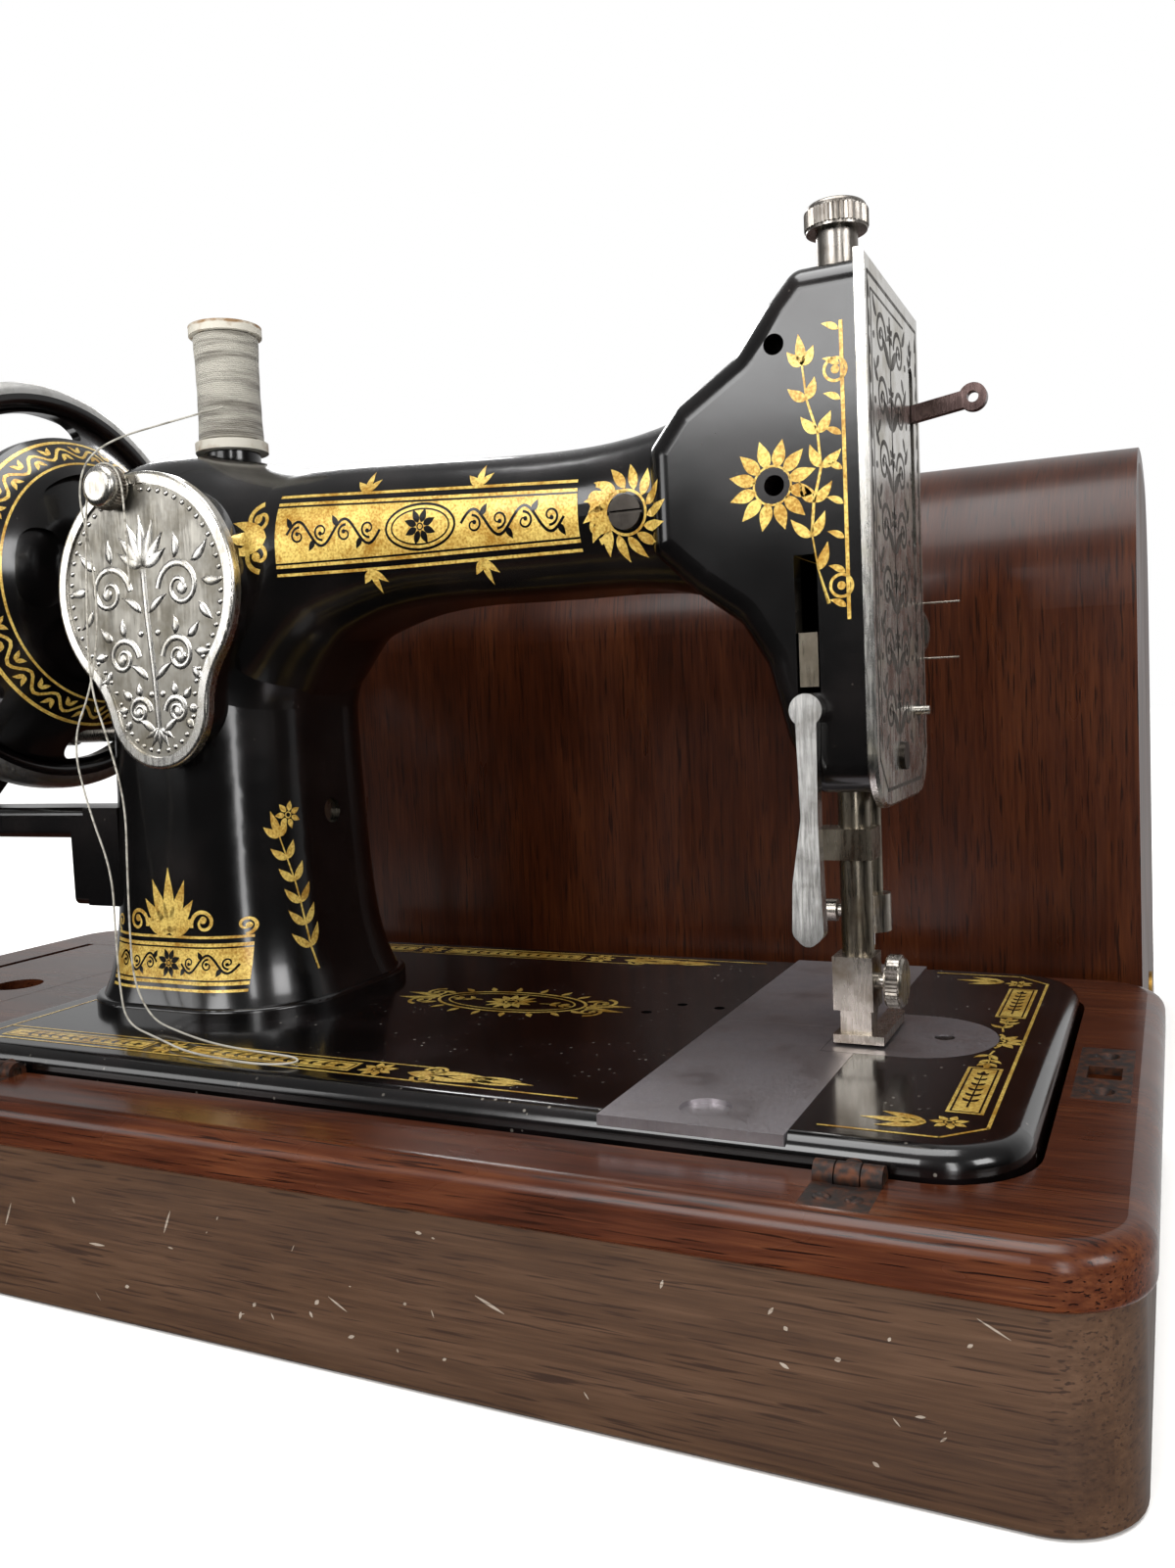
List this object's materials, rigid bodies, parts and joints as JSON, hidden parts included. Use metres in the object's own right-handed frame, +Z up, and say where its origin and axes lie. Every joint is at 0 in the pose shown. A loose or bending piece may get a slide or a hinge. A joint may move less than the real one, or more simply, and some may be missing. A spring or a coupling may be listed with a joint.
{
  "type": "hand-crank sewing machine",
  "caption": "Antique hand-crank sewing machine with an arched cast arm, hinged by its bed in a wooden base, with an arched bentwood carrying lid standing behind it.",
  "frame": {"origin": "centre of the wooden base's underside", "axes": "+X along the bed from the handwheel to the needle, +Y to the user's side where the lid stands, +Z up"},
  "size_m": [0.4885, 0.4205, 0.279],
  "materials": {
    "mahogany": "varnished",
    "plain_wood": "matt",
    "bentwood": "glossy varnish",
    "dark_iron": "worn",
    "japanned_iron": "gloss black with gold scroll ornament",
    "nickel": "aged nickel plate",
    "bright_steel": "worn",
    "spring_wire": "satin",
    "brass": "aged",
    "grip_wood": "ebonised",
    "spool_body": "matt",
    "cotton": "matt"
  },
  "bodies": {
    "base": {"base_floor": "plain_wood", "base_walls": "mahogany", "base_top_frame": "mahogany", "base_inner_blocks": "plain_wood", "bed_hinge_straps": "dark_iron", "bed_hinge_pins": "bright_steel", "lock_strike_plate": "dark_iron", "accessory_lid_pins": "bright_steel"},
    "accessory_cover": {"accessory_lid": "mahogany"},
    "machine": {"bed": "japanned_iron", "arm": "japanned_iron", "needle_plate": "nickel", "face_plate": "nickel", "machine_screws": "bright_steel", "bed_hinge_knuckles": "dark_iron", "crank_bracket": "japanned_iron", "spool_pins": "bright_steel", "tension_stud": "bright_steel", "tension_discs": "nickel", "tension_spring": "spring_wire", "check_spring": "spring_wire", "presser_spring": "spring_wire", "pivot_pins": "bright_steel", "loose_thread": "cotton"},
    "lid": {"lid_shell": "bentwood", "lid_end_boards": "bentwood", "lid_lock_case": "dark_iron", "lid_escutcheon": "brass", "lid_handle_brackets": "dark_iron"},
    "lid_grip": {"lid_handle": "dark_iron"},
    "lid_bolt": {"lid_lock_bolt": "bright_steel"},
    "near_slide": {"near_slide_plate": "nickel"},
    "far_slide": {"far_slide_plate": "nickel"},
    "wheel": {"handwheel": "japanned_iron", "arm_shaft": "bright_steel"},
    "clutch": {"clutch_knob": "nickel"},
    "pinion": {"crank_pinion": "bright_steel"},
    "crank": {"crank_gear": "bright_steel", "crank_arm": "bright_steel"},
    "grip": {"crank_handle": "grip_wood"},
    "needle_rod": {"needle_bar": "bright_steel", "needle_clamp": "bright_steel", "needle": "bright_steel"},
    "take_up": {"take_up_lever": "bright_steel"},
    "lifter": {"presser_lifter": "bright_steel"},
    "presser": {"presser_bar": "bright_steel", "presser_bracket": "bright_steel", "presser_foot": "bright_steel", "presser_foot_screw": "bright_steel"},
    "adjuster": {"presser_adjuster": "nickel"},
    "tension_knob": {"tension_nut": "nickel"},
    "cover": {"rear_cover": "nickel"},
    "cover_screw": {"cover_thumb_screw": "nickel"},
    "reel": {"spool": "spool_body", "spool_thread": "cotton"},
    "carrier": {"shuttle_carrier": "bright_steel", "shuttle": "bright_steel", "bobbin": "bright_steel"},
    "feed": {"feed_bar": "bright_steel"},
    "rocker": {"rocker_lever": "bright_steel"}
  },
  "joints": [
    {"name": "head_tilt", "type": "hinge", "parent": "base", "child": "machine", "pos_m": [0.0515, -0.0865, 0.0545], "axis": [1, 0, 0], "range_deg": [0, 70]},
    {"name": "accessory_lid_swing", "type": "hinge", "parent": "base", "child": "accessory_cover", "pos_m": [-0.2, 0, 0.05], "axis": [0, -1, 0], "range_deg": [0, 90]},
    {"name": "lid_lift", "type": "slide", "parent": "base", "child": "lid", "axis": [0, 0, 1], "range_m": [0, 0.25]},
    {"name": "lid_handle_swing", "type": "hinge", "parent": "lid", "child": "lid_grip", "pos_m": [0, 0.2145, 0.2435], "axis": [1, 0, 0], "range_deg": [0, 100]},
    {"name": "lid_bolt_throw", "type": "slide", "parent": "lid", "child": "lid_bolt", "axis": [0, 0, 1], "range_m": [-0.007, 0]},
    {"name": "near_slide_pull", "type": "slide", "parent": "machine", "child": "near_slide", "axis": [0, -1, 0], "range_m": [0, 0.005]},
    {"name": "far_slide_pull", "type": "slide", "parent": "machine", "child": "far_slide", "axis": [0, 1, 0], "range_m": [0, 0.028]},
    {"name": "wheel_turn", "type": "hinge", "parent": "machine", "child": "wheel", "pos_m": [-0.114, 0, 0.2], "axis": [1, 0, 0], "continuous": true},
    {"name": "clutch_turn", "type": "hinge", "parent": "wheel", "child": "clutch", "pos_m": [-0.132, 0, 0.2], "axis": [1, 0, 0], "range_deg": [0, 40]},
    {"name": "pinion_turn", "type": "hinge", "parent": "machine", "child": "pinion", "pos_m": [-0.158, 0, 0.2], "axis": [1, 0, 0], "continuous": true},
    {"name": "crank_turn", "type": "hinge", "parent": "machine", "child": "crank", "pos_m": [-0.169, 0.03883, 0.184], "axis": [1, 0, 0], "continuous": true},
    {"name": "crank_grip_spin", "type": "hinge", "parent": "crank", "child": "grip", "pos_m": [-0.223, -0.00218, 0.22501], "axis": [1, 0, 0], "continuous": true},
    {"name": "needle_stroke", "type": "slide", "parent": "machine", "child": "needle_rod", "axis": [0, 0, 1], "range_m": [-0.016, 0.017]},
    {"name": "take_up_swing", "type": "hinge", "parent": "machine", "child": "take_up", "pos_m": [0.131, 0.0215, 0.206], "axis": [0, -1, 0], "range_deg": [-36, 6]},
    {"name": "lifter_swing", "type": "hinge", "parent": "machine", "child": "lifter", "pos_m": [0.153, -0.035, 0.147], "axis": [0, -1, 0], "range_deg": [0, 75]},
    {"name": "presser_lift", "type": "slide", "parent": "machine", "child": "presser", "axis": [0, 0, 1], "range_m": [0, 0.006], "deforming": ["presser_spring"]},
    {"name": "adjuster_turn", "type": "hinge", "parent": "machine", "child": "adjuster", "pos_m": [0.157, -0.008, 0.258], "axis": [0, 0, 1], "range_deg": [-360, 360]},
    {"name": "tension_turn", "type": "hinge", "parent": "machine", "child": "tension_knob", "pos_m": [0.158, 0.056, 0.167], "axis": [0, 1, 0], "range_deg": [-360, 360]},
    {"name": "rear_cover_swing", "type": "hinge", "parent": "machine", "child": "cover", "pos_m": [-0.054, -0.043, 0.221], "axis": [0, -1, 0], "range_deg": [0, 100]},
    {"name": "cover_screw_turn", "type": "hinge", "parent": "machine", "child": "cover_screw", "pos_m": [-0.054, -0.048, 0.221], "axis": [0, -1, 0], "range_deg": [0, 360]},
    {"name": "reel_spin", "type": "hinge", "parent": "machine", "child": "reel", "pos_m": [-0.046, 0, 0.258], "axis": [0, 0, 1], "continuous": true},
    {"name": "carrier_swing", "type": "hinge", "parent": "machine", "child": "carrier", "pos_m": [0.0165, 0, 0.0457], "axis": [0, 0, 1], "range_deg": [-10, 10]},
    {"name": "feed_stroke", "type": "slide", "parent": "machine", "child": "feed", "axis": [0, 1, 0], "range_m": [-0.002, 0.002]},
    {"name": "rocker_swing", "type": "hinge", "parent": "machine", "child": "rocker", "pos_m": [-0.05, 0, 0.12], "axis": [1, 0, 0], "range_deg": [-2.5, 2.5]}
  ],
  "couplings": [
    {"joint": "pinion_turn", "follows": "wheel_turn", "ratio": 1},
    {"joint": "crank_turn", "follows": "wheel_turn", "ratio": -0.33333},
    {"joint": "lifter_swing", "follows": "presser_lift", "rad_per_m": 218.16}
  ]
}
